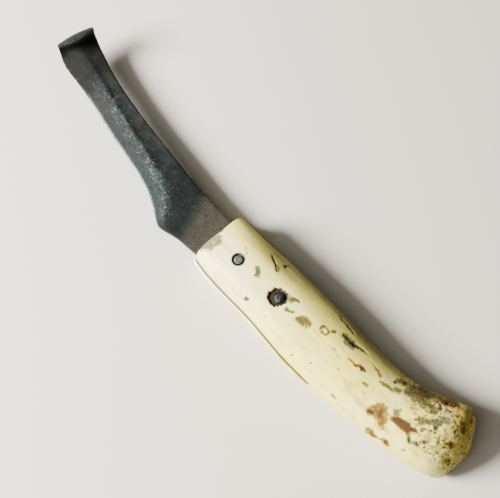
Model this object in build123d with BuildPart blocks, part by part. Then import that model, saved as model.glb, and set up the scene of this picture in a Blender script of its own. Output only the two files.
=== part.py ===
from build123d import *
import os
from math import atan2, copysign, cos, radians, sin

os.makedirs("parts", exist_ok=True)

# A small carving knife whose tip curls up and back over, like a hoof knife.
# Millimetres. +X runs from the butt to the tip, +Y is the cutting-edge side, +Z is up.
# The handle rests on the worn flat of its underside at Z = 0, and the blade reaches out level.
# Outlines are given from the middle of the handle's front end, which is at (front_x, front_y),
# so that the origin is under the middle of the whole knife.
front_x, front_y = 9.2, 7.4
blade_z = 8.4  # middle of the blade's thickness

# Blade
blade_thick = 1.8
edge_thick = 0.45  # what the bevel leaves at the cutting edge
neck_half = 8.6  # half of the blade's width at the handle
edge_points = [(7.7, 9.6), (15.6, 11.9), (18.8, 11.1), (24.0, 8.4),
               (33.5, 5.4), (52.2, 3.0), (73.0, -0.2)]  # round the heel, then the worn edge
back_points = [(70.0, -12.2), (52.0, -10.2), (27.0, -8.7), (14.0, -8.2)]  # unsharpened back
ridge_x, ridge_y = 24.7, 1.4  # where the ridge of the bevel leaves the flat ricasso
bevel_reach = 12.0  # the bevel's cut is wider than the blade

# Curled tip
blade_turn = -8.6  # degrees that the blade leans away from the handle's line
curl_x, curl_y = 84.0, -8.35  # middle of the blade where the curl begins
curl_edge_side, curl_back_side = 6.6, -7.0  # cutting edge and back, beside that middle
flare_back_side = -7.9  # the back at the front of the curl
ridge_side = -0.65  # the ridge beside the blade's middle, at the curl
lead_radius, lead_angle = 12.0, 25.0  # slow bend into the curl
curl_radius, curl_angle = 4.1, 155.0  # tight bend, up and back until it lies level
lip_radius, lip_reach = 10.4, 3.4  # the lip's rounded free edge, and how far out it ends

# Tang, and the saw cut that holds it
tang_length, tang_edge_side, tang_back_side = 58.0, 7.0, -10.0
tang_corner, shoulder_step = 4.0, 0.3
kerf_length = 60.0

# Rivets: place of each, diameter of its shank
front_rivet_x, front_rivet_y, front_rivet_dia = -13.7, 0.1, 3.1
rear_rivet_x, rear_rivet_y, rear_rivet_dia = -32.9, -1.9, 3.9
front_rivet_top, rear_rivet_top, rear_dome = 17.2, 16.9, 0.7
flare_height, flare_extra = 0.9, 0.2  # the hammered ends are a little wider than the shank
rivet_foot = 0.4  # the lower ends stay inside the underside
ring_dia, ring_depth = 4.4, 0.6  # worn ring round the front rivet
crater_dia, crater_floor_dia, crater_depth = 7.4, 5.2, 1.1  # rust-eaten hollow, rear rivet
crater_top = 17.6  # the handle's surface there

# Handle cross-sections: distance behind the front end, sideways centre, width, height, and
# squareness, where 2 would be an ellipse and more is squarer
handle_stations = [
    (2.2, -1.2, 21.6, 16.0, 3.2),
    (5.5, -1.1, 22.3, 16.8, 3.0),
    (14.0, -1.3, 22.9, 17.9, 2.8),
    (32.0, -2.8, 24.0, 18.1, 2.6),
    (52.0, -3.3, 25.4, 18.0, 2.5),
    (72.0, -4.6, 24.3, 18.2, 2.4),
    (86.0, -7.0, 24.5, 19.2, 2.4),
    (95.5, -10.2, 27.0, 20.7, 2.4),
    (102.0, -12.5, 28.4, 21.0, 2.3),
    (108.0, -11.5, 21.4, 16.6, 2.2),
    (111.6, -10.4, 12.0, 9.4, 2.0),
]
worn_flat = 0.5  # depth of the flat worn into the round underside
section_points = 24
front_bevel = 0.9  # eased edge round the front end


def at(x, y, z=0.0):
    """A point given from the middle of the handle's front end."""
    return Vector(front_x + x, front_y + y, z)


def plan(points):
    """Outline points on the ground plane."""
    return [(front_x + x, front_y + y) for x, y in points]


def rivet_profile(dia, top, dome=0.0):
    """Half section of a hammered rivet, from the middle of its head round to its foot."""
    shank, wide = dia / 2, dia / 2 + flare_extra
    with BuildLine(mode=Mode.PRIVATE) as profile:
        Polyline((0, top + dome), (0, rivet_foot), (wide, rivet_foot),
                 (shank, rivet_foot + flare_height), (shank, top - flare_height), (wide, top))
        if dome:
            sphere = (wide**2 + dome**2) / (2 * dome)
            rise = (sphere**2 - (wide / 2) ** 2) ** 0.5 - sphere + dome
            ThreePointArc((wide, top), (wide / 2, top + rise), (0, top + dome))
        else:
            Line((wide, top), (0, top))
    return profile.edges()


def handle_section(behind, side, width, height, squareness, inset=0.0):
    """One cross-section of the handle, a squarish oval."""
    station = Plane(at(-behind, side, height / 2 - worn_flat), x_dir=(0, 1, 0), z_dir=(1, 0, 0))
    points = []
    for i in range(section_points):
        turn = radians(360 * i / section_points)
        out = copysign(abs(cos(turn)) ** (2 / squareness), cos(turn))
        up = copysign(abs(sin(turn)) ** (2 / squareness), sin(turn))
        points.append((out * (width / 2 - inset), up * (height / 2 - inset)))
    with BuildSketch(station, mode=Mode.PRIVATE) as section:
        with BuildLine():
            Spline(*points, periodic=True)
        make_face()
    return section.sketch.face()


# Front rivet: hammered flat and rubbed bright
front_rivet_axis = Plane(at(front_rivet_x, front_rivet_y), x_dir=(1, 0, 0), z_dir=(0, -1, 0))
with BuildPart() as front_rivet:
    with BuildSketch(front_rivet_axis):
        make_face(rivet_profile(front_rivet_dia, front_rivet_top))
    revolve(axis=Axis(front_rivet_axis.origin, (0, 0, 1)))
front_rivet.part.label = "front_rivet"

# Rear rivet: a low domed head
rear_rivet_axis = Plane(at(rear_rivet_x, rear_rivet_y), x_dir=(1, 0, 0), z_dir=(0, -1, 0))
with BuildPart() as rear_rivet:
    with BuildSketch(rear_rivet_axis):
        make_face(rivet_profile(rear_rivet_dia, rear_rivet_top, rear_dome))
    revolve(axis=Axis(rear_rivet_axis.origin, (0, 0, 1)))
rear_rivet.part.label = "rear_rivet"

# Curled tip: the blade's own section, swept round a slow bend and then a tight one
half_thick = blade_thick / 2
along = Vector(cos(radians(blade_turn)), sin(radians(blade_turn)), 0)
across = Vector(-along.Y, along.X, 0)
curl_middle = at(curl_x, curl_y, blade_z)
curl_plan = Plane(curl_middle, x_dir=along)
curl_front = lead_radius * sin(radians(lead_angle)) + curl_radius + half_thick
with BuildPart() as curl:
    with BuildLine(Plane(curl_middle, x_dir=along, z_dir=-across)) as curl_path:
        lead = JernArc((0, 0), (1, 0), lead_radius, lead_angle)
        JernArc(lead @ 1, lead % 1, curl_radius, curl_angle)
    with BuildSketch(Plane(curl_middle, x_dir=across, z_dir=along)):
        with BuildLine():
            Polyline((flare_back_side, -half_thick), (curl_edge_side, -half_thick),
                     (curl_edge_side, edge_thick - half_thick), (ridge_side, half_thick),
                     (flare_back_side, half_thick), close=True)
        make_face()
    sweep(path=curl_path.line)
    # the back opens out towards the front of the curl
    with BuildSketch(curl_plan):
        with BuildLine():
            Polyline((0, curl_back_side), (curl_front, flare_back_side),
                     (curl_front, curl_edge_side), (0, curl_edge_side), close=True)
        make_face()
    extrude(amount=2 * curl_front, both=True, mode=Mode.INTERSECT)
    # the lip, above the hollow, ends in a rounded free edge
    with BuildSketch(curl_plan.offset(curl_radius)):
        with Locations((lip_reach + lip_radius, 0)):
            Rectangle(4 * lip_radius, 4 * lip_radius, align=(Align.MAX, Align.CENTER))
            Circle(lip_radius, mode=Mode.SUBTRACT)
    extrude(amount=2 * curl_front, mode=Mode.SUBTRACT)

# Blade: tang, ricasso, rounded heel and worn edge, in one piece with the curl
curl_edge = curl_middle + across * curl_edge_side
curl_back = curl_middle + across * curl_back_side
ridge_turn = atan2(curl_y + ridge_side - ridge_y, curl_x - ridge_x)
ridge_across = Vector(-sin(ridge_turn), cos(ridge_turn), 0)
bevel_slope = (blade_thick - edge_thick) / (curl_edge_side - ridge_side)
bevel_face = Plane(at(ridge_x, ridge_y, blade_z + half_thick),
                   x_dir=(cos(ridge_turn), sin(ridge_turn), 0),
                   z_dir=ridge_across * bevel_slope + Vector(0, 0, 1))
bevel_length = curl_x - ridge_x
with BuildPart() as blade:
    with BuildSketch(Plane.XY.offset(blade_z)):
        with BuildLine():
            tang = Polyline(*plan([
                (0, -neck_half), (-front_bevel, -neck_half + shoulder_step),
                (-tang_length + tang_corner, tang_back_side),
                (-tang_length, tang_back_side + tang_corner),
                (-tang_length, tang_edge_side - tang_corner),
                (-tang_length + tang_corner, tang_edge_side),
                (-front_bevel, neck_half - shoulder_step), (0, neck_half)]))
            edge = Spline(tang @ 1, *plan(edge_points), (curl_edge.X, curl_edge.Y))
            curl_line = Line(edge @ 1, (curl_back.X, curl_back.Y))
            Spline(curl_line @ 1, *plan(back_points), tang @ 0)
        make_face()
    extrude(amount=half_thick, both=True)
    # the bevel is a flat ground face that ends in a curved shoulder before the heel
    with BuildSketch(bevel_face):
        with BuildLine():
            shoulder = ThreePointArc((0, -1), (-5.5, 2.6), (-13, bevel_reach))
            Polyline(shoulder @ 1, (bevel_length, bevel_reach), (bevel_length, -1), shoulder @ 0)
        make_face()
    extrude(amount=blade_thick, mode=Mode.SUBTRACT)
    add(curl.part)
    add(front_rivet.part, mode=Mode.SUBTRACT)
    add(rear_rivet.part, mode=Mode.SUBTRACT)
blade.part.label = "blade"

# Handle: one piece of bone, sawn from the front for the tang
with BuildPart() as handle:
    loft([handle_section(*station) for station in handle_stations])
    behind, *front_shape = handle_stations[0]
    loft([handle_section(behind, *front_shape),
          handle_section(behind - front_bevel, *front_shape, inset=front_bevel)], ruled=True)
    split(bisect_by=Plane.XY, keep=Keep.TOP)
    # the saw cut
    with BuildSketch(Plane.XY.offset(blade_z)):
        with Locations((front_x - kerf_length, 0)):
            Rectangle(2 * kerf_length, kerf_length, align=(Align.MIN, Align.CENTER))
    extrude(amount=half_thick, both=True, mode=Mode.SUBTRACT)
    # rivet holes, open at the underside
    for rivet in (front_rivet, rear_rivet):
        add(rivet.part, mode=Mode.SUBTRACT)
        extrude(rivet.part.faces().sort_by(Axis.Z)[0], amount=2 * rivet_foot, mode=Mode.SUBTRACT)
    # worn ring round the front rivet, rust-eaten hollow round the rear one
    with Locations(at(front_rivet_x, front_rivet_y, front_rivet_top - ring_depth)):
        Cylinder(ring_dia / 2, 4 * ring_depth, align=(Align.CENTER, Align.CENTER, Align.MIN),
                 mode=Mode.SUBTRACT)
    with Locations(at(rear_rivet_x, rear_rivet_y, crater_top - crater_depth)):
        Cone(crater_floor_dia / 2, crater_dia - crater_floor_dia / 2, 2 * crater_depth,
             align=(Align.CENTER, Align.CENTER, Align.MIN), mode=Mode.SUBTRACT)
handle.part.label = "handle"

for piece in (blade, handle, front_rivet, rear_rivet):
    export_step(piece.part, f"parts/{piece.part.label}.step")
    print(piece.part.label, round(piece.part.volume, 1), "mm3, one solid:", len(piece.part.solids()) == 1)
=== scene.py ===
from math import asin, atan2, copysign, cos, exp, pi, radians, sin

import bmesh
import bpy
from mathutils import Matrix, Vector, noise


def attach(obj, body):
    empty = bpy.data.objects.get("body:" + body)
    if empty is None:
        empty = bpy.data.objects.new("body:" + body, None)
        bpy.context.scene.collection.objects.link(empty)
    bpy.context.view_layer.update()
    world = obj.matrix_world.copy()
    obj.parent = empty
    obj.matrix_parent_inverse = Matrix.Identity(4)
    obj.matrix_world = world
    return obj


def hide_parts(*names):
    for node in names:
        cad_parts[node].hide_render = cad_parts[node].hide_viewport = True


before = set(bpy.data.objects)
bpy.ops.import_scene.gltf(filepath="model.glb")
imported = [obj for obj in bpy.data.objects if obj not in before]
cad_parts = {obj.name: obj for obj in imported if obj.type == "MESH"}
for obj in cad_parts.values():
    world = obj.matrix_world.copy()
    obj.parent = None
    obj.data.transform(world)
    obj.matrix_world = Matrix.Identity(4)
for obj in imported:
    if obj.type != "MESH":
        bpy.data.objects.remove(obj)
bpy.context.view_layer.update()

noise.seed_set(21)  # so that every run gives the same marks
# A small hooked carving knife: a forged blade in a bone handle, held by two iron rivets.
# Sizes in the dictionaries are millimetres, told from the middle of the handle's front end.
mm = 0.001
frontMiddle = Vector((9.2, 7.4, 0.0))
rivetPlaces = {"front": (-13.7, 0.1), "rear": (-32.9, -1.9)}
bladeLevel, bladeThick = 8.4, 1.8


def spot(x, y, z):
    return (frontMiddle + Vector((x, y, z))) * mm


def smooth(low, high, value):
    t = min(1.0, max(0.0, (value - low) / (high - low)))
    return t * t * (3 - 2 * t)


def lineThrough(points, x):
    # a smooth line through points that run from low x to high x
    if x <= points[0][0]:
        return points[0][1]
    if x >= points[-1][0]:
        return points[-1][1]
    i = max(n for n in range(len(points) - 1) if points[n][0] <= x)
    before, after = points[max(i - 1, 0)], points[min(i + 2, len(points) - 1)]
    (x0, y0), (x1, y1) = points[i], points[i + 1]
    slope0 = (y1 - before[1]) / (x1 - before[0])
    slope1 = (after[1] - y0) / (after[0] - x0)
    width = x1 - x0
    t = (x - x0) / width
    start = (1 + 2 * t) * (1 - t) ** 2 * y0 + t * (1 - t) ** 2 * width * slope0
    end = t * t * (3 - 2 * t) * y1 + t * t * (t - 1) * width * slope1
    return start + end


def lump(place, size, seed=0.0):
    # smooth noise from -1 to 1 with lumps of about this size, place in millimetres
    return noise.noise(Vector(place) / size + Vector((seed, seed * 1.7, -seed)))


def pickOnly(piece):
    if bpy.context.object and bpy.context.object.mode != "OBJECT":
        bpy.ops.object.mode_set(mode="OBJECT")
    bpy.ops.object.select_all(action="DESELECT")
    piece.select_set(True)
    bpy.context.view_layer.objects.active = piece


def applyModifiers(piece):
    pickOnly(piece)
    for modifier in list(piece.modifiers):
        bpy.ops.object.modifier_apply(modifier=modifier.name)


def settle(piece):
    # the object goes to the origin, and its place stays in its mesh
    pickOnly(piece)
    bpy.ops.object.transform_apply(location=True, rotation=True, scale=True)


def startRing(name, places):
    # an open circle with one vertex for each place, left selected in edit mode; each vertex
    # carries the number of its column and of its ring
    bpy.ops.object.select_all(action="DESELECT")
    bpy.ops.mesh.primitive_circle_add(vertices=len(places), radius=mm, fill_type="NOTHING")
    piece = bpy.context.object
    piece.name = piece.data.name = name
    bpy.ops.object.mode_set(mode="EDIT")
    bpy.ops.mesh.select_all(action="SELECT")
    mesh = bmesh.from_edit_mesh(piece.data)
    column = mesh.verts.layers.int.new("column")
    mesh.verts.layers.int.new("ring")
    mesh.verts.ensure_lookup_table()
    for number, place in enumerate(places):
        mesh.verts[number][column] = number
        mesh.verts[number].co = place
    bmesh.update_edit_mesh(piece.data)
    return piece


def nextRing(piece, places):
    # the ring just made is extruded, and each new vertex goes to its own place
    bpy.ops.mesh.extrude_region_move()
    mesh = bmesh.from_edit_mesh(piece.data)
    column = mesh.verts.layers.int["column"]
    ring = mesh.verts.layers.int["ring"]
    for vertex in mesh.verts:
        if vertex.select:
            vertex.co = places[vertex[column]]
            vertex[ring] += 1
    bmesh.update_edit_mesh(piece.data)


def closeEnds(piece):
    bpy.ops.mesh.edge_face_add()
    bpy.ops.mesh.select_all(action="DESELECT")
    bpy.ops.mesh.select_mode(type="EDGE")
    bpy.ops.mesh.select_non_manifold()
    bpy.ops.mesh.edge_face_add()
    bpy.ops.mesh.select_all(action="SELECT")
    bpy.ops.mesh.normals_make_consistent(inside=False)
    bpy.ops.mesh.select_mode(type="VERT")
    bpy.ops.object.mode_set(mode="OBJECT")


def subdivided(piece, levels):
    surface = piece.modifiers.new("smooth form", "SUBSURF")
    surface.levels = surface.render_levels = levels
    applyModifiers(piece)


def cut(piece, cutter):
    # takes the cutter's shape out of the piece
    saw = piece.modifiers.new("cut", "BOOLEAN")
    saw.operation = "DIFFERENCE"
    saw.solver = "EXACT"
    saw.object = cutter
    applyModifiers(piece)
    bpy.data.objects.remove(cutter)


def cutRoundHole(piece, centre, wide, low, high, corners):
    # a round hole straight down from one height to another
    bpy.ops.object.select_all(action="DESELECT")
    middle = spot(*centre, (low + high) / 2)
    bpy.ops.mesh.primitive_cylinder_add(vertices=corners, radius=wide / 2 * mm,
                                        depth=(high - low) * mm, location=middle)
    drill = bpy.context.object
    settle(drill)
    cut(piece, drill)


def smoothShade(piece, angle):
    pickOnly(piece)
    bpy.ops.object.shade_smooth_by_angle(angle=radians(angle))


def readLayer(piece, name):
    return [item.value for item in piece.data.attributes[name].data]


def floatLayer(piece, name, values):
    layer = piece.data.attributes.new(name, "FLOAT", "POINT")
    layer.data.foreach_set("value", values)


def colourLayer(piece, name, rows):
    layer = piece.data.attributes.new(name, "FLOAT_COLOR", "POINT")
    layer.data.foreach_set("color", [value for row in rows for value in row])


# ---- camera, floor and lights
studio = {
    "cameraPlace": (-0.0844, 0.0702, 0.3410),
    "cameraAim": (-0.0022, 0.0003, 0.0090),
    "lens": 72.0,
    "keyPlace": (0.32, 0.50, 0.40), "keySize": 0.32, "keyPower": 32.0,
    "fillPlace": (0.10, 0.45, 0.75), "fillSize": 0.6, "fillPower": 2.2,
    "lightColour": (1.0, 0.97, 0.90),
    "skyColour": (0.95, 0.90, 0.74), "skyStrength": 0.10,
    "floorColour": (0.66, 0.64, 0.58), "floorSize": 4.0,
}


def aimAt(thing, place, target):
    thing.location = place
    thing.rotation_euler = (Vector(target) - Vector(place)).to_track_quat("-Z", "Y").to_euler()


def softLight(name):
    bpy.ops.object.light_add(type="AREA")
    light = bpy.context.object
    light.name = name + "Light"
    light.data.shape = "DISK"
    light.data.size = studio[name + "Size"]
    light.data.energy = studio[name + "Power"]
    light.data.color = studio["lightColour"]
    aimAt(light, studio[name + "Place"], (0, 0, 0))


def makeStudio():
    bpy.ops.object.select_all(action="DESELECT")
    bpy.ops.object.camera_add()
    camera = bpy.context.object
    camera.name = "camera"
    camera.data.lens = studio["lens"]
    camera.data.sensor_width = 36.0
    camera.data.clip_start = 0.01
    aimAt(camera, studio["cameraPlace"], studio["cameraAim"])
    bpy.context.scene.camera = camera
    softLight("key")
    softLight("fill")
    world = bpy.data.worlds.new("studioAir")
    bpy.context.scene.world = world
    world.use_nodes = True
    sky = world.node_tree.nodes["Background"]
    sky.inputs["Color"].default_value = (*studio["skyColour"], 1)
    sky.inputs["Strength"].default_value = studio["skyStrength"]
    bpy.ops.mesh.primitive_plane_add(size=studio["floorSize"], location=(0, 0, 0))
    floor = bpy.context.object
    floor.name = "studioFloor"
    paper, tree, shader = newMaterial("palePaper")
    shader.inputs["Base Color"].default_value = (*studio["floorColour"], 1)
    shader.inputs["Roughness"].default_value = 0.8
    floor.data.materials.append(paper)


# ---- shader helpers, and the effects that several finishes share
def newMaterial(name):
    material = bpy.data.materials.new(name)
    material.use_nodes = True
    return material, material.node_tree, material.node_tree.nodes["Principled BSDF"]


def put(tree, kind, inputs=None, **settings):
    node = tree.nodes.new(kind)
    for key, value in settings.items():
        setattr(node, key, value)
    for key, value in (inputs or {}).items():
        if isinstance(value, bpy.types.NodeSocket):
            tree.links.new(value, node.inputs[key])
        else:
            node.inputs[key].default_value = value
    return node


def maths(tree, operation, a, b=0.0, clamp=False):
    node = put(tree, "ShaderNodeMath", {0: a, 1: b}, operation=operation, use_clamp=clamp)
    return node.outputs[0]


def times(tree, first, *others):
    for value in others:
        first = maths(tree, "MULTIPLY", first, value)
    return first


def blendColour(tree, amount, under, over):
    node = put(tree, "ShaderNodeMix", {"Factor": amount}, data_type="RGBA")
    for socket, value in ((node.inputs[6], under), (node.inputs[7], over)):
        if isinstance(value, bpy.types.NodeSocket):
            tree.links.new(value, socket)
        else:
            socket.default_value = (*value, 1)
    return node.outputs[2]


def mapped(tree, value, low, high, toLow=0.0, toHigh=1.0):
    inputs = {"Value": value, "From Min": low, "From Max": high, "To Min": toLow, "To Max": toHigh}
    return put(tree, "ShaderNodeMapRange", inputs, interpolation_type="SMOOTHSTEP").outputs[0]


def stretched(tree, vector, scale, place=(0, 0, 0)):
    inputs = {"Vector": vector, "Scale": scale, "Location": place}
    return put(tree, "ShaderNodeMapping", inputs, vector_type="POINT").outputs[0]


def groupStart(name, inputs):
    group = bpy.data.node_groups.new(name, "ShaderNodeTree")
    for label, kind, value in inputs:
        socket = group.interface.new_socket(label, in_out="INPUT", socket_type=kind)
        if kind == "NodeSocketFloat":
            socket.default_value = value
    group.interface.new_socket("Mask", in_out="OUTPUT", socket_type="NodeSocketFloat")
    return group, put(group, "NodeGroupInput").outputs


def groupEnd(group, mask):
    put(group, "NodeGroupOutput", {"Mask": mask})
    return group


def makePatches():
    # cloudy patches of a given size: cover is the share of the surface, softness their edges
    group, given = groupStart("patches", [
        ("Vector", "NodeSocketVector", None), ("Size", "NodeSocketFloat", 3.0),
        ("Cover", "NodeSocketFloat", 0.5), ("Softness", "NodeSocketFloat", 0.1)])
    scale = maths(group, "DIVIDE", 1000.0, given["Size"])
    cloud = put(group, "ShaderNodeTexNoise", {"Vector": given["Vector"], "Scale": scale,
                                              "Detail": 5.0, "Roughness": 0.62}).outputs[0]
    middle = mapped(group, given["Cover"], 0.0, 1.0, 0.72, 0.28)
    low = maths(group, "SUBTRACT", middle, given["Softness"])
    high = maths(group, "ADD", middle, given["Softness"])
    return groupEnd(group, mapped(group, cloud, low, high))


def makeSpecks():
    # small separate specks: only some cells hold one
    group, given = groupStart("specks", [
        ("Vector", "NodeSocketVector", None), ("Size", "NodeSocketFloat", 1.0),
        ("Cover", "NodeSocketFloat", 0.2)])
    scale = maths(group, "DIVIDE", 1000.0, given["Size"])
    wander = put(group, "ShaderNodeTexNoise", {"Vector": given["Vector"], "Scale": scale,
                                               "Detail": 3.0}).outputs[1]
    moved = put(group, "ShaderNodeVectorMath", {0: wander}, operation="SCALE")
    moved.inputs["Scale"].default_value = 0.0006
    place = put(group, "ShaderNodeVectorMath", {0: given["Vector"], 1: moved.outputs[0]},
                operation="ADD").outputs[0]
    cells = put(group, "ShaderNodeTexVoronoi", {"Vector": place, "Scale": scale})
    chosen = put(group, "ShaderNodeSeparateColor", {0: cells.outputs["Color"]}).outputs[0]
    reach = mapped(group, maths(group, "SUBTRACT", given["Cover"], chosen), 0.0, 0.5, 0.0, 0.5)
    nearer = maths(group, "SUBTRACT", reach, cells.outputs["Distance"])
    return groupEnd(group, mapped(group, nearer, -0.06, 0.06))


def makeRagged():
    # a mark whose field falls from 1 at its middle to 0.5 at its edge, given a ragged edge
    group, given = groupStart("raggedMark", [
        ("Field", "NodeSocketFloat", 0.0), ("Vector", "NodeSocketVector", None),
        ("Size", "NodeSocketFloat", 1.0), ("Raggedness", "NodeSocketFloat", 0.4),
        ("Softness", "NodeSocketFloat", 0.1)])
    scale = maths(group, "DIVIDE", 1000.0, given["Size"])
    cloud = put(group, "ShaderNodeTexNoise", {"Vector": given["Vector"], "Scale": scale,
                                              "Detail": 4.0, "Roughness": 0.65}).outputs[0]
    shift = times(group, maths(group, "SUBTRACT", cloud, 0.5), given["Raggedness"])
    field = maths(group, "ADD", given["Field"], shift)
    low = maths(group, "SUBTRACT", 0.5, given["Softness"])
    high = maths(group, "ADD", 0.5, given["Softness"])
    return groupEnd(group, mapped(group, field, low, high))


def effect(tree, group, **inputs):
    node = put(tree, "ShaderNodeGroup", node_tree=group)
    for key, value in inputs.items():
        if isinstance(value, bpy.types.NodeSocket):
            tree.links.new(value, node.inputs[key])
        else:
            node.inputs[key].default_value = value
    return node.outputs["Mask"]


patches = makePatches()
specks = makeSpecks()
raggedMark = makeRagged()


def cloudy(tree, vector, size, cover, softness):
    return effect(tree, patches, Vector=vector, Size=size, Cover=cover, Softness=softness)


def speckled(tree, vector, size, cover):
    return effect(tree, specks, Vector=vector, Size=size, Cover=cover)


def ragged(tree, field, vector, size, raggedness, softness):
    return effect(tree, raggedMark, Field=field, Vector=vector, Size=size,
                  Raggedness=raggedness, Softness=softness)


makeStudio()
print("studio and shared effects ready")


# ---- handle: one piece of worn bone
handle = {
    # distance behind the front end, sideways middle, width, height, squareness (2 is an oval)
    "stations": [(2.2, -1.2, 21.6, 16.0, 3.8), (5.5, -1.1, 22.3, 16.8, 3.4),
                 (14.0, -1.3, 22.9, 17.9, 3.0), (32.0, -2.8, 24.0, 18.1, 2.6),
                 (52.0, -3.3, 25.4, 18.0, 2.5), (72.0, -4.6, 24.3, 18.2, 2.4),
                 (86.0, -7.0, 24.5, 19.2, 2.4), (95.5, -10.2, 27.0, 20.7, 2.4),
                 (102.0, -12.5, 28.4, 21.0, 2.3), (108.0, -11.5, 21.4, 16.6, 2.2),
                 (111.6, -10.4, 12.0, 9.4, 2.0)],
    # rings of the form: distance behind the front end, and how far they are drawn in
    "nose": [(1.3, 3.0), (1.3, 0.9), (1.5, 0.3), (2.1, 0.0)],
    "rings": 32, "ringStart": 4.6, "ringEnd": 110.6,
    "tail": [(111.4, 0.0), (111.6, 0.6), (111.6, 2.4)],
    "around": 24, "smoothLevels": 3, "smoothLoss": 1.012,
    "wornFlat": 0.5, "seamStep": 0.95,
    "sawCutLength": 60.0, "sawCutGap": 0.04, "seamFade": (-66.0, -56.0), "upperFrom": 14.0,
    # round holes: rivet, width, lowest and highest point; the second is the front rivet's worn ring
    "holes": [("front", 3.3, -1, 25), ("front", 4.5, 15.9, 25), ("rear", 4.1, -1, 25)],
    "craterMiddle": (-32.4, -1.4), "craterSize": 3.6, "craterDepth": 1.0,
    "poreDepth": 0.50, "pitDepth": 0.30, "markSqueeze": 0.4,
    # spongy bone lies past a line across the butt (a point and its way) and beside one along it
    "spongeFrom": (-82.0, -13.0), "spongeWay": (-0.632, -0.776),
    "spongeBeside": (-95.5, -2.0), "spongeSlope": 0.193,
    # a ring-shaped stain: where, its radius and how far it fades to either side
    "ringStain": (-51.0, -5.6), "ringRadius": 1.35, "ringFade": 0.9,
}

# Marks in the bone, seen from above: where from, where to (distance along and across), the half
# width at both ends, and for cracks how deep they are. All in millimetres.
boneCracks = [  # thin dark lines and nicks
    (-12.0, -4.8, -14.5, -3.4, 0.20, 0.28, 0.15),
    (-19.5, -10.2, -25.5, -7.4, 0.10, 0.28, 0.25),
    (-34.5, -5.0, -38.5, -6.2, 0.30, 0.10, 0.15),
    (-50.5, -13.3, -58.0, -13.0, 0.15, 0.25, 0.3),
    (-56.5, -9.7, -61.0, -10.4, 0.60, 0.70, 0.30),
    (-61.0, -10.4, -66.0, -11.8, 0.70, 0.12, 0.30),
    (-55.0, -3.2, -59.5, -4.5, 0.10, 0.20, 0.1),
    (-64.0, -5.6, -66.5, -6.0, 0.10, 0.15, 0.1),
    (-67.0, -6.2, -69.0, -7.3, 0.20, 0.35, 0.15),
    (-70.0, -10.8, -72.0, -9.9, 0.12, 0.20, 0.15),
    (-80.0, 1.5, -81.5, 0.5, 0.25, 0.45, 0.25),
    (-84.5, 5.3, -90.0, 3.6, 0.15, 0.30, 0.2),
    (-96.0, 1.3, -97.0, 0.7, 0.25, 0.50, 0.2),
    (-94.0, -3.5, -96.0, -2.2, 0.55, 0.80, 0.6),
    (-96.0, -2.2, -98.5, -3.6, 0.80, 0.65, 0.6),
    (-98.5, -3.6, -100.0, -6.8, 0.65, 0.40, 0.5),
    (-101.5, -4.0, -103.0, -4.6, 0.25, 0.40, 0.3),
    (-105.5, -4.8, -107.0, -5.6, 0.35, 0.25, 0.3),
    (-100.0, -11.0, -101.5, -9.5, 0.20, 0.30, 0.3),
]
bonePits = [  # small dark pits and specks: place and half width
    (-22.5, 8.0, 0.35), (-35.0, 6.0, 0.30), (-22.5, 5.7, 0.25), (-30.0, 7.0, 0.25),
    (-26.0, -11.0, 0.45), (-38.5, -6.0, 0.45), (-39.3, -4.5, 0.30), (-45.2, -3.6, 0.40),
    (-46.5, 0.2, 0.35), (-50.0, 7.4, 0.50), (-56.3, 4.7, 0.40), (-64.0, -0.8, 0.35),
    (-69.0, -6.4, 0.45), (-75.0, -2.0, 0.35), (-79.0, -12.0, 0.45), (-81.5, -14.5, 0.55),
    (-90.5, -12.2, 0.40), (-92.0, -8.0, 0.50), (-93.5, -11.5, 0.45), (-95.0, -16.8, 0.60),
    (-96.0, -7.4, 0.80), (-98.0, -9.2, 0.65), (-98.5, -10.8, 0.70), (-95.0, -20.0, 0.60),
]
boneBrowns = [  # ochre and rust-brown stains
    (-25.3, 6.9, -26.3, 6.5, 0.8, 0.6),
    (-43.4, -2.8, -44.6, -3.4, 0.4, 0.6),
    (-63.0, -5.2, -68.5, -6.8, 0.3, 0.9),
    (-68.0, 6.2, -70.0, 5.8, 0.3, 0.4),
    (-70.6, -10.3, -74.0, -9.6, 0.2, 0.8),
    (-80.5, 0.6, -82.5, -1.4, 1.6, 2.4),
    (-82.5, -1.4, -86.0, 0.4, 2.3, 1.8),
    (-84.5, 4.9, -87.0, 4.4, 1.0, 0.8),
    (-87.0, -2.9, -92.0, -4.6, 1.1, 1.9),
    (-92.0, -4.6, -95.5, -5.3, 1.9, 0.5),
    (-90.0, 3.6, -91.5, 3.2, 1.0, 1.1),
    (-95.0, -19.9, -97.0, -20.6, 1.4, 1.1),
    (-92.0, -19.5, -97.0, -22.3, 1.0, 1.6),
    (-107.0, -5.5, -109.0, -8.2, 0.5, 1.1),
    (-104.0, -10.0, -105.5, -11.8, 0.7, 1.0),
    (-102.5, -19.0, -104.5, -17.5, 0.9, 1.1),
]
boneReds = [  # strong red-brown stains
    (-25.4, 6.9, -26.2, 6.5, 0.7, 0.5),
    (-68.4, -7.4, -69.5, -6.6, 0.4, 0.5),
    (-80.0, 1.3, -81.0, 0.5, 0.5, 0.6),
    (-88.0, -3.0, -92.0, -4.6, 1.0, 1.6),
    (-92.0, -4.6, -95.0, -5.2, 1.6, 0.4),
    (-90.0, 3.7, -91.0, 3.3, 0.5, 0.7),
    (-94.0, -19.6, -97.0, -20.9, 1.0, 0.9),
    (-85.0, -13.8, -88.0, -15.8, 0.4, 0.7),
]
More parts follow.
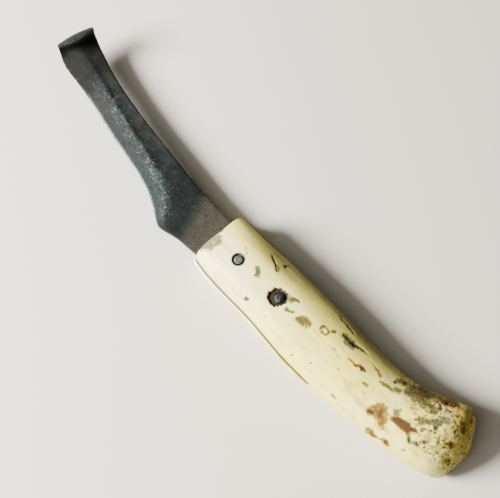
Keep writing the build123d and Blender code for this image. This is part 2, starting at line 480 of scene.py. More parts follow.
boneOlives = [  # olive and grey-brown stains
    (-20.5, -3.1, -22.5, -1.1, 0.9, 1.0),
    (-20.2, -9.7, -25.3, -7.5, 0.4, 0.8),
    (-26.3, -11.2, -25.7, -10.8, 0.6, 0.7),
    (-34.5, -3.7, -38.5, -5.8, 1.9, 0.5),
    (-37.2, -1.0, -39.7, -2.2, 0.7, 0.5),
    (-42.5, -1.6, -45.2, -3.0, 1.3, 1.7),
    (-53.0, -7.2, -53.8, -7.8, 0.45, 0.35),
    (-57.0, -9.7, -62.5, -10.5, 1.0, 0.9),
    (-73.4, -4.2, -72.8, -3.8, 0.8, 0.7),
    (-76.0, -8.0, -82.0, -10.5, 0.6, 1.0),
    (-78.6, -12.5, -82.0, -14.7, 0.9, 1.4),
    (-83.5, -12.6, -88.5, -14.6, 1.3, 2.4),
    (-84.5, -14.8, -89.0, -17.5, 1.6, 2.0),
    (-90.0, -13.4, -94.0, -15.0, 0.9, 1.4),
    (-88.0, -17.0, -94.0, -20.3, 1.2, 1.6),
    (-93.0, -9.0, -97.0, -12.0, 1.3, 1.8),
]
boneGreys = [  # soft grey smudges
    (-1.4, 6.5, -2.4, 0.4, 1.5, 1.9),
    (-3.4, 4.6, -4.0, 1.0, 1.4, 1.3),
    (-1.2, 1.0, -1.4, -3.0, 0.9, 0.5),
    (-86.2, -5.6, -87.0, -5.0, 1.0, 1.1),
    (-58.0, -8.4, -61.0, -8.8, 0.6, 0.8),
    (-97.0, -14.0, -99.0, -15.0, 1.0, 1.5),
]


def sectionAt(behind):
    # sideways middle, width, height and squareness at this distance behind the front end
    rows = handle["stations"]
    return [lineThrough([(row[0], row[n]) for row in rows], behind) for n in range(1, 5)]


def onTop(x, y):
    # the point of the handle's upper surface that lies over this place
    side, width, height, squareness = sectionAt(-x)
    share = min(0.98, abs(y - side) / (width / 2))
    up = (1 - share ** squareness) ** (1 / squareness)
    return Vector((x, y, height / 2 * (1 + up) - handle["wornFlat"]))


def handleSection(behind, drawnIn):
    side, width, height, squareness = sectionAt(behind)
    places = []
    for n in range(handle["around"]):
        turn = 2 * pi * n / handle["around"]
        out = copysign(abs(cos(turn)) ** (2 / squareness), cos(turn))
        up = copysign(abs(sin(turn)) ** (2 / squareness), sin(turn))
        y = side + out * (width / 2 - drawnIn) * handle["smoothLoss"]
        z = height / 2 - handle["wornFlat"] + up * (height / 2 - drawnIn) * handle["smoothLoss"]
        places.append(spot(-behind, y, z))
    return places


def ready(marks):
    # each mark with its two ends on the bone, ready for many distances
    return [(onTop(mark[0], mark[1]), onTop(mark[2], mark[3]), *mark[4:]) for mark in marks]


def toMark(place, mark):
    # distance to a mark's middle line, over its half width there
    start, end = mark[0], mark[1]
    line = end - start
    t = min(1.0, max(0.0, (place - start).dot(line) / line.length_squared))
    gap = place - start - t * line
    gap.z *= handle["markSqueeze"]  # so that a mark also covers the floor of its own crack
    return gap.length / (mark[2] + t * (mark[3] - mark[2]))


def nearMarks(marks, place, reach):
    # the strongest mark here: 1 on its line, 0.5 at its edge, 0 one more width out
    best = 0.0
    for mark in marks:
        if min(mark[0].x, mark[1].x) - reach < place.x < max(mark[0].x, mark[1].x) + reach:
            best = max(best, 1 - toMark(place, mark) / 2)
    return best


def pitField(pits, place):
    best = 0.0
    for middle, size in pits:
        if abs(place.x - middle.x) < 3 * size:
            gap = place - middle
            gap.z *= handle["markSqueeze"]
            best = max(best, 1 - gap.length / size / 2)
    return best


def wandered(place, size, reach):
    return place + noise.noise_vector(place / size) * reach


def spongeMask(place):
    # how open and spongy the bone is here: the far side of the butt
    uneven = 1.5 * lump(place, 3.5)
    past = (place.xy - Vector(handle["spongeFrom"])).dot(Vector(handle["spongeWay"])) + uneven
    lineX, lineY = handle["spongeBeside"]
    beside = lineY + handle["spongeSlope"] * (place.x - lineX) - place.y + uneven
    return smooth(-1.0, 3.5, past) * smooth(-0.6, 1.8, beside)


def poreDepth(place):
    near = noise.voronoi(place / 2.1)[0]
    fine = noise.voronoi(place / 1.0 + Vector((5, 3, 8)))[0]
    some = smooth(-0.1, 0.3, lump(place, 2.5, 4.0))
    return some * smooth(0.32, 0.08, near[0]) + 0.55 * smooth(0.34, 0.10, fine[0])


def craterDepth(place):
    # the rust-eaten hollow round the rear rivet, with a torn edge
    x, y = place.x - handle["craterMiddle"][0], place.y - handle["craterMiddle"][1]
    turn = atan2(y, x)
    rim = handle["craterSize"] + 0.7 * lump((cos(turn) * 3, sin(turn) * 3, 7), 0.75)
    away = (x * x + y * y) ** 0.5
    return smooth(rim + 0.15, rim - 0.6, away) if place.z > handle["upperFrom"] else 0.0


def boneRelief(place, cracks, pits):
    # how far the bone's surface stands out or in here, millimetres
    longRidges = Vector((place.x / 26, place.y / 5, place.z / 5))
    relief = 0.16 * lump(place, 14.0) + 0.20 * noise.noise(longRidges)
    # along the saw cut the lower half stands out a little more than the upper one
    side, width = sectionAt(-place.x)[:2]
    seam = smooth(0.6, 0.9, (place.y - side) / (width / 2)) * smooth(*handle["seamFade"], place.x)
    lowBulge = smooth(bladeLevel - 0.2, bladeLevel - 2.8, place.z) * smooth(0.0, 2.5, place.z)
    upper = smooth(bladeLevel - 0.5, bladeLevel + 0.5, place.z)
    relief += seam * (handle["seamStep"] * lowBulge - 0.2 * upper)
    relief += 0.035 * lump(place, 2.2, 3.0)
    line = wandered(place, 1.6, 0.35)
    for mark in cracks:
        if min(mark[0].x, mark[1].x) - 2 < place.x < max(mark[0].x, mark[1].x) + 2:
            relief -= mark[4] * smooth(1.8, 0.3, toMark(line, mark))
    relief -= handle["pitDepth"] * smooth(0.25, 0.8, pitField(pits, line))
    sponge = spongeMask(place)
    if sponge > 0:
        relief -= handle["poreDepth"] * sponge * poreDepth(place)
        relief += 0.25 * sponge * lump(place, 3.0, 9.0)
    relief -= handle["craterDepth"] * craterDepth(place)
    return relief


def makeHandle():
    places = [handleSection(behind, drawnIn) for behind, drawnIn in handle["nose"]]
    step = (handle["ringEnd"] - handle["ringStart"]) / (handle["rings"] - 1)
    for n in range(handle["rings"]):
        places.append(handleSection(handle["ringStart"] + n * step, 0.0))
    places += [handleSection(behind, drawnIn) for behind, drawnIn in handle["tail"]]
    piece = startRing("boneHandle", places[0])
    for ring in places[1:]:
        nextRing(piece, ring)
    closeEnds(piece)
    subdivided(piece, handle["smoothLevels"])
    vertices = piece.data.vertices
    cracks = ready(boneCracks)
    pits = [(onTop(x, y), size) for x, y, size in bonePits]
    moved = []
    for vertex in vertices:
        place = vertex.co / mm - frontMiddle
        goal = vertex.co + vertex.normal * boneRelief(place, cracks, pits) * mm
        goal.z = max(goal.z, 0.0)
        moved.append(goal)
    for vertex, goal in zip(vertices, moved):
        vertex.co = goal
    print("handle formed:", len(vertices), "vertices")

    # the saw cut for the tang, then the rivets' holes and the worn ring round the front one
    bpy.ops.object.select_all(action="DESELECT")
    length = handle["sawCutLength"] + 10
    tall = bladeThick + 2 * handle["sawCutGap"]
    middle = spot(length / 2 - handle["sawCutLength"], 0, bladeLevel)
    bpy.ops.mesh.primitive_cube_add(size=1, scale=(length * mm, 60 * mm, tall * mm), location=middle)
    sawCut = bpy.context.object
    settle(sawCut)
    cut(piece, sawCut)
    for rivet, wide, low, high in handle["holes"]:
        cutRoundHole(piece, rivetPlaces[rivet], wide, low, high, 64)

    # fields that the bone's finish reads: stains, dark lines, the painted shade of the saw cut and of
    # the gap round the front rivet, and the dark pores
    stains, gapShadeAndPores, worn = [], [], []
    front = Vector(rivetPlaces["front"])
    ringMiddle = Vector(handle["ringStain"])
    markLists = (boneBrowns, boneReds, boneOlives, boneGreys)
    browns, reds, olives, greys = (ready(marks) for marks in markLists)
    for vertex in piece.data.vertices:
        place = vertex.co / mm - frontMiddle
        line = wandered(place, 1.6, 0.35)
        loose = wandered(place, 2.6, 0.9)
        olive = nearMarks(olives, loose, 5)
        onUpper = place.z > handle["upperFrom"]
        if onUpper:
            offRing = abs((loose.xy - ringMiddle).length - handle["ringRadius"])
            broken = 0.5 * max(0.0, lump(place, 1.5, 5.0))
            olive = max(olive, 1 - offRing / handle["ringFade"] - broken)
        dark = max(nearMarks(cracks, line, 2), pitField(pits, line))
        stains.append((nearMarks(browns, loose, 6), olive, dark, nearMarks(greys, loose, 5)))
        sponge = spongeMask(place)
        # painted shade: the gap round the front rivet and the walls and mouth of the saw cut are
        # coloured dark where shade falls
        gapShade = smooth(2.75, 2.25, (place.xy - front).length) if onUpper else 0.0
        if abs(place.z - bladeLevel) < 1.0 and place.x > -handle["sawCutLength"] - 0.5:
            gapShade = 0.9
        pore = 0.85 * sponge * smooth(0.2, 0.8, poreDepth(place)) if sponge > 0 else 0.0
        gapShadeAndPores.append(max(gapShade, pore))
        # sideways, how far a point lies towards the -Y side, steers the painted shade on that side and
        # the painted highlight on the lit front
        side, width = sectionAt(-place.x)[:2]
        sideways = max(0.0, (side - place.y) / (width / 2))
        worn.append((sponge, craterDepth(place), nearMarks(reds, loose, 5), sideways))
    colourLayer(piece, "stains", stains)
    colourLayer(piece, "worn", worn)
    floatLayer(piece, "gapShadeAndPores", gapShadeAndPores)
    smoothShade(piece, 50)
    piece.data.materials.append(makeBone())
    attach(piece, "root")
    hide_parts("handle")
    print("handle ready:", len(piece.data.polygons), "faces")


bone = {
    "litPaleBone": (0.94, 0.91, 0.46), "ivory": (0.92, 0.83, 0.19), "cream": (0.86, 0.74, 0.11),
    "buttCream": (0.76, 0.64, 0.12), "chalk": (0.86, 0.80, 0.27), "fibre": (0.46, 0.34, 0.04),
    "sideShadeOlive": (0.094, 0.083, 0.024), "ochre": (0.27, 0.150, 0.004), "redBrown": (0.060, 0.025, 0.003),
    "umber": (0.046, 0.030, 0.007), "olive": (0.058, 0.049, 0.012), "dark": (0.012, 0.010, 0.005),
    "grey": (0.046, 0.050, 0.033), "rimOchre": (0.46, 0.33, 0.040), "pink": (0.56, 0.38, 0.15),
    "crater": (0.010, 0.006, 0.005), "craterRed": (0.034, 0.012, 0.008),
}


def makeBone():
    material, tree, shader = newMaterial("wornBone")
    place = put(tree, "ShaderNodeTexCoord").outputs["Object"]
    x, y = put(tree, "ShaderNodeSeparateXYZ", {0: place}).outputs[:2]
    stain = put(tree, "ShaderNodeAttribute", attribute_name="stains")
    brown, olive, dark = put(tree, "ShaderNodeSeparateColor", {0: stain.outputs["Color"]}).outputs
    grey = stain.outputs["Alpha"]
    worn = put(tree, "ShaderNodeAttribute", attribute_name="worn")
    sponge, crater, red = put(tree, "ShaderNodeSeparateColor", {0: worn.outputs["Color"]}).outputs
    sideways = worn.outputs["Alpha"]
    hollow = put(tree, "ShaderNodeAttribute", attribute_name="gapShadeAndPores").outputs["Fac"]
    fibres = stretched(tree, place, (0.12, 1.0, 1.0))
    butt = mapped(tree, x, -0.045, -0.085)

    colour = blendColour(tree, cloudy(tree, place, 22.0, 0.45, 0.16), bone["ivory"], bone["cream"])
    colour = blendColour(tree, times(tree, butt, 0.7), colour, bone["buttCream"])
    # painted highlight: the front half and the lamp-facing side are lifted towards a paler yellow-white
    # where the key lamp falls strongest
    litFrontHighlight = times(tree, mapped(tree, x, -0.045, 0.0), mapped(tree, sideways, 0.55, 0.0))
    colour = blendColour(tree, litFrontHighlight, colour, bone["litPaleBone"])
    lines = cloudy(tree, fibres, 2.0, 0.40, 0.14)
    colour = blendColour(tree, times(tree, lines, 0.26), colour, bone["fibre"])
    # chalky patches at the butt, and painted shade: the -Y side, away from the key lamp, is darkened to
    # a yellow-olive, in patches, weaker at the front and at the butt
    chalky = cloudy(tree, place, 6.0, 0.5, 0.1)
    colour = blendColour(tree, times(tree, chalky, butt, 0.7), colour, bone["chalk"])
    # painted shade: how dark the side away from the lamp is painted
    sideShadePatch = mapped(tree, cloudy(tree, fibres, 3.5, 0.55, 0.2), 0.0, 1.0, 0.62, 0.90)
    sideShadeFront = mapped(tree, x, 0.009, -0.018, 0.30, 1.0)
    sideShadeButt = mapped(tree, x, -0.076, -0.090, 1.0, 0.45)
    sheet = times(tree, mapped(tree, sideways, 0.0, 0.78), sideShadePatch, sideShadeFront, sideShadeButt)
    colour = blendColour(tree, sheet, colour, bone["sideShadeOlive"])
    # streaky ochre, more of it from the middle towards the butt
    streaks = cloudy(tree, stretched(tree, place, (0.40, 1.0, 1.0), (0.013, 0.0, 0.0)), 3.2, 0.36, 0.12)
    behindRivets = mapped(tree, x, -0.020, -0.060, 0.04, 0.60)
    colour = blendColour(tree, times(tree, streaks, behindRivets), colour, bone["ochre"])
    # the butt's ochre rim and the brown net of its open cells
    rimPlace = maths(tree, "ADD", times(tree, x, -0.587), times(tree, y, -0.809))
    rim = times(tree, mapped(tree, rimPlace, 0.0585, 0.0650), cloudy(tree, place, 2.6, 0.66, 0.12))
    colour = blendColour(tree, times(tree, rim, 0.85), colour, bone["rimOchre"])
    net = cloudy(tree, place, 1.5, 0.42, 0.06)
    netTone = blendColour(tree, cloudy(tree, place, 4.0, 0.5, 0.1), bone["ochre"], bone["umber"])
    pinkish = speckled(tree, place, 2.2, 0.45)
    crumbs = cloudy(tree, place, 0.8, 0.36, 0.08)
    cells = speckled(tree, place, 1.3, 0.55)
    for spots, strength, tone in ((net, 0.75, netTone), (pinkish, 0.5, bone["pink"]),
                                  (crumbs, 0.65, bone["umber"]), (cells, 0.85, bone["umber"])):
        colour = blendColour(tree, times(tree, sponge, spots, strength), colour, tone)
    # fine freckles all over, more of them away from the bleached front
    freckles = speckled(tree, place, 1.1, 0.20)
    freckled = mapped(tree, x, 0.0, -0.05, 0.12, 0.5)
    colour = blendColour(tree, times(tree, freckles, freckled), colour, bone["olive"])
    blots = cloudy(tree, place, 2.4, 0.20, 0.08)
    blottedBack = mapped(tree, x, -0.015, -0.045, 0.0, 0.5)
    blottedSide = mapped(tree, sideways, 0.0, 0.5, 0.4, 1.0)
    colour = blendColour(tree, times(tree, blots, blottedBack, blottedSide), colour, bone["fibre"])

    # stains, each with a ragged edge and an uneven depth of colour
    uneven = cloudy(tree, place, 1.5, 0.66, 0.16)
    depth = mapped(tree, uneven, 0.0, 1.0, 0.74, 1.0)

    def toned(field, share, low, high, edgeTone, middleTone):
        # the stain's colour, from its edge to its middle
        amount = maths(tree, "ADD", field, times(tree, uneven, share))
        return blendColour(tree, mapped(tree, amount, low, high), edgeTone, middleTone)

    greyMask = ragged(tree, grey, place, 1.2, 1.2, 0.22)
    colour = blendColour(tree, times(tree, greyMask, times(tree, depth, 0.85)), colour, bone["grey"])
    oliveMask = ragged(tree, olive, place, 1.2, 1.2, 0.18)
    oliveTone = toned(olive, 0.2, 0.75, 1.15, bone["olive"], bone["umber"])
    colour = blendColour(tree, times(tree, oliveMask, times(tree, depth, 0.92)), colour, oliveTone)
    brownMask = ragged(tree, brown, place, 1.3, 1.2, 0.12)
    brownTone = toned(brown, 0.25, 0.70, 1.25, bone["ochre"], bone["redBrown"])
    colour = blendColour(tree, times(tree, brownMask, depth), colour, brownTone)
    redMask = ragged(tree, red, place, 1.3, 0.9, 0.10)
    redTone = toned(red, 0.3, 0.25, 0.85, bone["ochre"], bone["redBrown"])
    colour = blendColour(tree, times(tree, redMask, 0.95), colour, redTone)
    darkMask = ragged(tree, dark, place, 0.8, 0.7, 0.16)
    darkDepth = mapped(tree, uneven, 0.0, 1.0, 0.55, 0.85)
    colour = blendColour(tree, times(tree, darkMask, darkDepth), colour, bone["dark"])
    # painted shade in the saw cut and the gap round the front rivet, and dark spongy pores
    colour = blendColour(tree, times(tree, hollow, 0.9), colour, bone["dark"])
    craterMask = ragged(tree, crater, place, 0.9, 0.9, 0.12)
    craterTone = blendColour(tree, cloudy(tree, place, 1.2, 0.4, 0.1), bone["crater"], bone["craterRed"])
    colour = blendColour(tree, craterMask, colour, craterTone)
    tree.links.new(colour, shader.inputs["Base Color"])

    rough = mapped(tree, x, 0.0, -0.09, 0.34, 0.58)
    marked = brownMask
    for mask in (craterMask, redMask, darkMask, sponge):
        marked = maths(tree, "MAXIMUM", marked, mask)
    rough = maths(tree, "ADD", rough, times(tree, marked, 0.25))
    rough = maths(tree, "ADD", rough, mapped(tree, sideways, 0.2, 0.9, 0.0, 0.4), True)
    tree.links.new(rough, shader.inputs["Roughness"])
    grain = put(tree, "ShaderNodeTexNoise", {"Vector": fibres, "Scale": 900.0, "Detail": 4.0}).outputs[0]
    pores = speckled(tree, place, 0.7, 0.35)
    height = maths(tree, "SUBTRACT", times(tree, grain, 0.5), times(tree, pores, 0.5))
    height = maths(tree, "SUBTRACT", height, times(tree, darkMask, 1.5))
    bump = put(tree, "ShaderNodeBump", {"Height": height, "Strength": 0.5, "Distance": 0.00012})
    tree.links.new(bump.outputs[0], shader.inputs["Normal"])
    shader.inputs["Specular IOR Level"].default_value = 0.35
    shader.inputs["Subsurface Weight"].default_value = 0.12
    shader.inputs["Subsurface Radius"].default_value = (1.0, 0.8, 0.4)
    shader.inputs["Subsurface Scale"].default_value = 0.0012
    return material


# ---- blade: forged, ground on its upper side only, with the tip curled up and back
blade = {
    "edgeThick": 0.45, "bevelSlope": 0.186,
    # from the tang's end to the curl: cutting-edge side, back, and ridge of the bevel
    "edge": [(-58.0, 3.0), (-54.0, 7.0), (-20.0, 7.6), (-0.9, 8.3), (0.0, 8.6), (7.7, 9.7),
             (12.0, 11.0), (15.8, 12.1), (18.9, 11.2), (24.0, 8.45), (33.5, 5.45), (52.2, 3.05),
             (62.0, 1.6), (72.0, 0.1), (79.0, -0.6), (85.0, -0.75)],
    "back": [(-58.0, -6.0), (-54.0, -10.0), (-20.0, -9.2), (-0.9, -8.3), (0.0, -8.6), (14.0, -8.2),
             (27.0, -8.7), (52.0, -10.2), (70.0, -12.2), (82.95, -15.27)],
    "ridge": [(-58.0, 2.0), (-54.0, 6.0), (0.0, 7.7), (12.0, 10.1), (15.5, 9.7), (18.4, 6.7),
              (21.2, 3.9), (24.7, 1.4), (27.2, 0.2), (32.2, -0.7), (45.3, -3.3), (61.3, -5.4),
              (73.4, -7.6), (84.0, -8.99)],
    "tangRings": [-58.0, -56.6, -54.0, -46.0, -34.0, -22.0, -11.0, -3.5],
    "bladeRings": [0.0, 3.0, 6.0, 8.7, 11.2, 13.2, 14.8, 16.2, 17.5, 18.9, 20.8, 23.2, 26.0, 29.5,
                   33.5, 38.0, 43.0, 48.0, 53.0, 58.0, 63.0, 68.0, 73.0, 77.5, 81.0],
    "turnFrom": 30.0, "turn": -8.6,
    "curlMiddle": (84.0, -8.35), "curlEdgeSide": 6.6, "curlBackSide": -7.0, "flareBackSide": -7.9,
    "leadRadius": 12.0, "leadAngle": 25.0, "leadSteps": 3,
    "curlRadius": 4.1, "curlEnd": 180.0, "curlSteps": 12,
    "lipRadius": 10.4, "lipReach": 2.6, "curlBulge": 0.7, "flareEdge": 0.16,
    "hollowDepth": 0.30, "curlStart": 84.0, "bendStart": 89.2, "lipEnd": 100.2, "upperColumns": 14,
    "holes": [("front", 3.3), ("rear", 4.1)], "holeReach": 3.0,
}
bladeTurn = radians(blade["turn"])
alongCurl = Vector((cos(bladeTurn), sin(bladeTurn)))
acrossCurl = Vector((-sin(bladeTurn), cos(bladeTurn)))


def bladeColumns(width, ridgeAt, hollow):
    # the blade's section: distance from the back, height over its middle; and where each point
    # lies between back (0), ridge (1) and cutting edge (2)
    half = bladeThick / 2
    bevel = width - ridgeAt
    drop = min(2 * half - blade["edgeThick"], blade["bevelSlope"] * bevel)
    edgeTop = half - drop
    top = [(0.0, 0.5, 0.0), (0.3, half, 0.05)]
    top += [(ridgeAt * t, half - hollow * dip, t) for t, dip in
            ((0.22, 0.35), (0.45, 0.75), (0.66, 1.0), (0.84, 0.75))]
    top += [(0.93 * ridgeAt, half - 0.35 * hollow, 0.93), (ridgeAt, half - 0.04 * drop, 1.0),
            (ridgeAt + 0.2 * bevel, half - 0.21 * drop, 1.2)]
    top += [(ridgeAt + t * bevel, half - t * drop, 1 + t) for t in (0.4, 0.7, 0.9)]
    top += [(width - 0.1, edgeTop, 1.97), (width, edgeTop - 0.12, 2.0)]
    under = [(width - 0.02, -half + 0.1, 2.0), (width - 0.25, -half, 1.9)]
    under += [(width * t, -half, 2 * t) for t in (0.75, 0.5, 0.25)]
    under += [(0.3, -half, 0.05), (0.0, -0.5, 0.0)]
    return top + under


def flatRing(s):
    # a ring square to the blade's line, which leans away little by little
    lean = smooth(blade["turnFrom"], blade["curlStart"], s)
    edgeX, backX = s + 0.99 * lean, s - 1.05 * lean
    edge = Vector((edgeX, lineThrough(blade["edge"], edgeX)))
    back = Vector((backX, lineThrough(blade["back"], backX)))
    across = edge - back
    ridgeAt = lineThrough(blade["ridge"], s) - back.y
    hollow = blade["hollowDepth"] * smooth(24.0, 33.0, s) * smooth(88.0, 70.0, s)
    places = []
    for away, height, share in bladeColumns(across.length, ridgeAt, hollow):
        point = back + across.normalized() * away
        places.append(spot(point.x, point.y, bladeLevel + height))
    return places


def curlRing(t):
    # t runs from 0 where the tip starts to lift, over 1 at the tight bend, to 2 at the lip
    width = blade["curlEdgeSide"] - blade["curlBackSide"]
    ridgeAt = width / 2 - 0.2
    lead, tight, radius = radians(blade["leadAngle"]), radians(blade["curlEnd"]), blade["curlRadius"]
    centreX = (blade["leadRadius"] - radius) * sin(lead)
    centreZ = blade["leadRadius"] - (blade["leadRadius"] - radius) * cos(lead)
    places = []
    for away, height, share in bladeColumns(width, ridgeAt, 0.0):
        side = blade["curlBackSide"] + away
        if t <= 1:
            angle = lead * t
            x = (blade["leadRadius"] - height) * sin(angle)
            z = blade["leadRadius"] - (blade["leadRadius"] - height) * cos(angle)
        else:
            freeX = blade["lipReach"] + blade["lipRadius"] - (blade["lipRadius"] ** 2 - side ** 2) ** 0.5
            last = tight - asin(min(1.0, max(-1.0, (freeX - centreX) / (radius + 0.9))))
            angle = lead + (last - lead) * (t - 1)
            x = centreX + (radius - height) * sin(angle)
            z = centreZ - (radius - height) * cos(angle)
        x += blade["curlBulge"] * smooth(0.3, 1.5, t) * (1 - (side / 7.0) ** 2)
        if side > 0:
            side *= 1 + blade["flareEdge"] * smooth(9.0, 3.0, x)
        if side < 0:
            side *= 1 + (blade["flareBackSide"] / blade["curlBackSide"] - 1) * smooth(0.0, 8.0, x)
        point = Vector(blade["curlMiddle"]) + alongCurl * x + acrossCurl * side
        places.append(spot(point.x, point.y, bladeLevel + z))
    return places


def makeBlade():
    rings = [(s, flatRing(s)) for s in blade["tangRings"] + blade["bladeRings"]]
    for n in range(blade["leadSteps"]):
        t = n / blade["leadSteps"]
        rings.append((blade["curlStart"] + (blade["bendStart"] - blade["curlStart"]) * t, curlRing(t)))
    for n in range(blade["curlSteps"] + 1):
        t = n / blade["curlSteps"]
        rings.append((blade["bendStart"] + (blade["lipEnd"] - blade["bendStart"]) * t, curlRing(1 + t)))
    piece = startRing("forgedBlade", rings[0][1])
    for s, ring in rings[1:]:
        nextRing(piece, ring)
    closeEnds(piece)

    # where each point lies along and across the blade, for its relief, its bevel and its painted glints
    columns = readLayer(piece, "column")
    shares = [row[2] for row in bladeColumns(14.0, 7.0, 0.0)]
    floatLayer(piece, "along", [rings[n][0] for n in readLayer(piece, "ring")])
    floatLayer(piece, "across", [shares[n] for n in columns])
    floatLayer(piece, "upper", [1.0 if n < blade["upperColumns"] else 0.0 for n in columns])
    subdivided(piece, 3)

    moved, bevelAndGlints = [], []
    layers = (readLayer(piece, name) for name in ("along", "across", "upper"))
    for vertex, s, t, top in zip(piece.data.vertices, *layers):
        place = vertex.co / mm - frontMiddle
        free = smooth(0.5, 4.0, s)
        calm = 1 - 0.6 * exp(-((t - 1.0) / 0.2) ** 2)
        relief = 0.09 * lump(place, 9.0, 2.0) + 0.030 * calm * lump(place, 2.6, 5.0)
        pits = noise.voronoi(place / 1.7)[0][0]
        relief -= 0.07 * calm * smooth(0.30, 0.08, pits) * smooth(0.0, 0.5, lump(place, 7.0, 8.0) + 0.25)
        if t > 1.9:  # small nicks in the worn cutting edge
            relief -= 0.16 * smooth(0.15, 0.6, lump(place, 1.6, 4.0)) * smooth(12.0, 18.0, s)
        moved.append(vertex.co + vertex.normal * relief * free * mm)
        # painted glints along the cutting edge and the ridge, and where the ground bevel lies
        sharpened = smooth(14.0, 19.0, s)
        edgeLight = smooth(1.88, 1.97, t) * sharpened * smooth(80.0, 60.0, s)
        ridgeLight = exp(-((t - 1.15) / 0.30) ** 2) * sharpened * top * smooth(86.0, 70.0, s)
        bevel = smooth(0.9, 1.25, t) * sharpened * top
        bevelAndGlints.append((edgeLight, ridgeLight, bevel, 1.0))
    for vertex, goal in zip(piece.data.vertices, moved):
        vertex.co = goal
    colourLayer(piece, "bevelAndGlints", bevelAndGlints)
    low, high = bladeLevel - blade["holeReach"], bladeLevel + blade["holeReach"]
    for rivet, wide in blade["holes"]:
        cutRoundHole(piece, rivetPlaces[rivet], wide, low, high, 48)
    smoothShade(piece, 40)
    piece.data.materials.append(makeSteel())
    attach(piece, "root")
    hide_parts("blade")
    print("blade ready:", len(piece.data.polygons), "faces")


steel = {
    "blueGrey": (0.0075, 0.0125, 0.0140), "greenBlack": (0.0030, 0.0068, 0.0060),
    "bevelAndHighlightGrey": (0.021, 0.026, 0.026), "teal": (0.009, 0.026, 0.030), "ridgeHighlightGrey": (0.070, 0.105, 0.110),
    "bright": (0.24, 0.33, 0.33), "rust": (0.018, 0.0125, 0.0100), "redRust": (0.030, 0.0160, 0.0125),
    "rootGrit": (0.036, 0.032, 0.023), "rootDark": (0.012, 0.011, 0.0085),
    "shadeBlack": (0.0024, 0.0026, 0.0016),
}


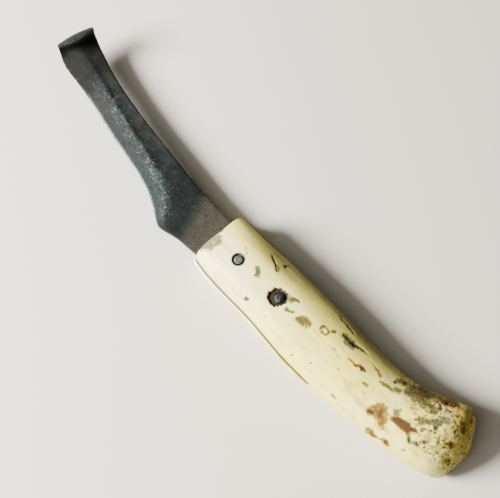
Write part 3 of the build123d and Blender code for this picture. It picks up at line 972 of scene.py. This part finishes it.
def makeSteel():
    material, tree, shader = newMaterial("forgedSteel")
    place = put(tree, "ShaderNodeTexCoord").outputs["Object"]
    x, y, z = put(tree, "ShaderNodeSeparateXYZ", {0: place}).outputs
    bevelAndGlints = put(tree, "ShaderNodeAttribute", attribute_name="bevelAndGlints").outputs["Color"]
    edge, ridge, bevel = put(tree, "ShaderNodeSeparateColor", {0: bevelAndGlints}).outputs
    cloud = cloudy(tree, place, 9.0, 0.5, 0.15)
    colour = blendColour(tree, cloud, steel["blueGrey"], steel["greenBlack"])
    fine = cloudy(tree, place, 1.1, 0.5, 0.14)
    bevelFine = times(tree, bevel, mapped(tree, fine, 0.0, 1.0, 0.35, 0.95))
    colour = blendColour(tree, bevelFine, colour, steel["bevelAndHighlightGrey"])
    blued = cloudy(tree, stretched(tree, place, (1, 1, 1), (0.03, 0.02, 0)), 5.0, 0.40, 0.10)
    bluedTip = mapped(tree, x, 0.020, 0.045, 0.30, 0.70)
    colour = blendColour(tree, times(tree, blued, bluedTip), colour, steel["teal"])
    # brown rust: a broad thin film and small redder spots
    sheet = cloudy(tree, place, 5.0, 0.44, 0.14)
    grit = cloudy(tree, place, 0.9, 0.6, 0.18)
    cleanHeel = mapped(tree, x, 0.050, 0.036, 0.8, 0.2)
    filmMask = times(tree, sheet, grit, cleanHeel)
    colour = blendColour(tree, filmMask, colour, steel["rust"])
    spots = cloudy(tree, stretched(tree, place, (1, 1, 1), (0.02, 0.01, 0)), 3.4, 0.30, 0.09)
    colour = blendColour(tree, times(tree, spots, times(tree, cleanHeel, 0.8)), colour, steel["redRust"])
    # painted shade: all but the ground bevel, chiefly the hollow behind the ridge that faces away from
    # the lamp, is darkened towards black
    colour = blendColour(tree, mapped(tree, bevel, 0.0, 1.0, 0.42, 0.0), colour, steel["shadeBlack"])
    # the rubbed ridge shines through in pale flecks
    # painted highlight along the ridge in small patches, and painted glints as fine specks, thickest on
    # the ridge
    ridgeHighlight = times(tree, ridge, cloudy(tree, place, 6.0, 0.55, 0.12))
    colour = blendColour(tree, times(tree, ridgeHighlight, fine, 0.45), colour, steel["ridgeHighlightGrey"])
    glintShare = maths(tree, "ADD", times(tree, ridgeHighlight, 0.5), 0.04)
    fleckGlints = times(tree, speckled(tree, place, 0.6, 0.45), glintShare)
    colour = blendColour(tree, fleckGlints, colour, steel["bright"])
    # a gritty grey-brown patch by the handle
    rootLine = maths(tree, "ADD", x, times(tree, y, 0.45))
    rootMask = times(tree, mapped(tree, rootLine, 0.027, 0.019), 0.92)
    rootGrit = cloudy(tree, place, 0.6, 0.55, 0.18)
    rootTone = blendColour(tree, rootGrit, steel["rootDark"], steel["rootGrit"])
    colour = blendColour(tree, rootMask, colour, rootTone)
    # painted shadow inside the curl and over the tip, and a painted highlight on the upturned top of the
    # curl
    curlShadow = times(tree, mapped(tree, x, 0.076, 0.088), 0.85)
    colour = blendColour(tree, curlShadow, colour, steel["shadeBlack"])
    curlTopHighlight = times(tree, mapped(tree, z, 0.0150, 0.0168), mapped(tree, fine, 0.0, 1.0, 0.6, 1.0))
    colour = blendColour(tree, curlTopHighlight, colour, steel["bevelAndHighlightGrey"])
    # painted glint along the cutting edge
    edgeGlint = times(tree, edge, mapped(tree, fine, 0.0, 1.0, 0.35, 0.85))
    colour = blendColour(tree, edgeGlint, colour, steel["bright"])
    tree.links.new(colour, shader.inputs["Base Color"])
    rusty = maths(tree, "MAXIMUM", maths(tree, "MAXIMUM", filmMask, rootMask), spots)
    tree.links.new(mapped(tree, rusty, 0.0, 1.0, 0.45, 0.05), shader.inputs["Metallic"])
    rough = maths(tree, "ADD", mapped(tree, rusty, 0.0, 1.0, 0.54, 0.80), times(tree, fine, 0.10))
    tree.links.new(rough, shader.inputs["Roughness"])
    shader.inputs["Specular IOR Level"].default_value = 0.3
    scale = put(tree, "ShaderNodeTexNoise", {"Vector": place, "Scale": 1300.0, "Detail": 6.0,
                                             "Roughness": 0.65}).outputs[0]
    height = maths(tree, "ADD", scale, times(tree, rusty, 0.35))
    bump = put(tree, "ShaderNodeBump", {"Height": height, "Strength": 0.6, "Distance": 0.00015})
    tree.links.new(bump.outputs[0], shader.inputs["Normal"])
    return material


# ---- rivets
rivets = {
    # insets and rises shape the hammered head, from its rim inwards
    "front": {"place": rivetPlaces["front"], "size": 3.1, "foot": 0.4, "top": 17.15,
              "insets": [0.12, 0.30, 0.40, 0.40], "rise": [0.10, 0.02, 0.01, -0.02], "rough": 0.05},
    "rear": {"place": rivetPlaces["rear"], "size": 4.0, "foot": 0.4, "top": 16.9,
             "insets": [0.15, 0.35, 0.45, 0.50], "rise": [0.22, 0.26, 0.18, 0.08], "rough": 0.10},
}


def makeRivet(name, facts, material, node):
    bpy.ops.object.select_all(action="DESELECT")
    tall = facts["top"] - facts["rise"][0] - facts["foot"]
    bpy.ops.mesh.primitive_cylinder_add(vertices=40, radius=facts["size"] / 2 * mm, depth=tall * mm,
                                        location=spot(*facts["place"], facts["foot"] + tall / 2))
    piece = bpy.context.object
    piece.name = piece.data.name = name
    settle(piece)
    bpy.ops.object.mode_set(mode="EDIT")
    bpy.ops.mesh.select_mode(type="FACE")
    bpy.ops.mesh.select_all(action="DESELECT")
    mesh = bmesh.from_edit_mesh(piece.data)
    for face in mesh.faces:
        face.select = face.normal.z > 0.9
    bmesh.update_edit_mesh(piece.data)
    for inset, rise in zip(facts["insets"], facts["rise"]):
        bpy.ops.mesh.inset(thickness=inset * mm)
        bpy.ops.transform.translate(value=(0, 0, rise * mm))
    bpy.ops.mesh.poke()
    bpy.ops.mesh.select_mode(type="VERT")
    bpy.ops.object.mode_set(mode="OBJECT")
    subdivided(piece, 2)
    axis = spot(*facts["place"], 0)
    for vertex in piece.data.vertices:
        place = vertex.co / mm - frontMiddle
        high = smooth(facts["top"] - 1.5, facts["top"] - 0.6, place.z)
        vertex.co.z += facts["rough"] * (lump(place, 0.9, 6.0) + lump(place, 2.2, 3.0)) * high * mm
        out = vertex.co.xy - axis.xy
        vertex.co.xy += out.normalized() * facts["rough"] * 0.8 * lump(place, 1.1, 2.0) * high * mm
    smoothShade(piece, 60)
    piece.data.materials.append(material)
    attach(piece, "root")
    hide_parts(node)


def makeRivetFinish(name, metal, shade, rustCover, roughness):
    material, tree, shader = newMaterial(name)
    place = put(tree, "ShaderNodeTexCoord").outputs["Object"]
    cloud = cloudy(tree, place, 1.6, 0.5, 0.15)
    colour = blendColour(tree, cloud, metal, shade)
    rust = cloudy(tree, place, 1.1, rustCover, 0.08)
    colour = blendColour(tree, times(tree, rust, 0.85), colour, steel["rust"])
    tree.links.new(colour, shader.inputs["Base Color"])
    tree.links.new(mapped(tree, rust, 0.0, 1.0, 0.8, 0.15), shader.inputs["Metallic"])
    tree.links.new(mapped(tree, rust, 0.0, 1.0, roughness, 0.75), shader.inputs["Roughness"])
    dents = put(tree, "ShaderNodeTexNoise", {"Vector": place, "Scale": 1800.0, "Detail": 4.0}).outputs[0]
    bump = put(tree, "ShaderNodeBump", {"Height": dents, "Strength": 0.5, "Distance": 0.0001})
    tree.links.new(bump.outputs[0], shader.inputs["Normal"])
    return material


makeHandle()
makeBlade()
makeRivet("frontRivet", rivets["front"],
          makeRivetFinish("rubbedIron", (0.17, 0.20, 0.19), (0.12, 0.14, 0.135), 0.12, 0.55),
          "front_rivet")
makeRivet("rearRivet", rivets["rear"],
          makeRivetFinish("rustedIron", (0.035, 0.042, 0.040), (0.014, 0.017, 0.016), 0.35, 0.5),
          "rear_rivet")
print("rivets ready")
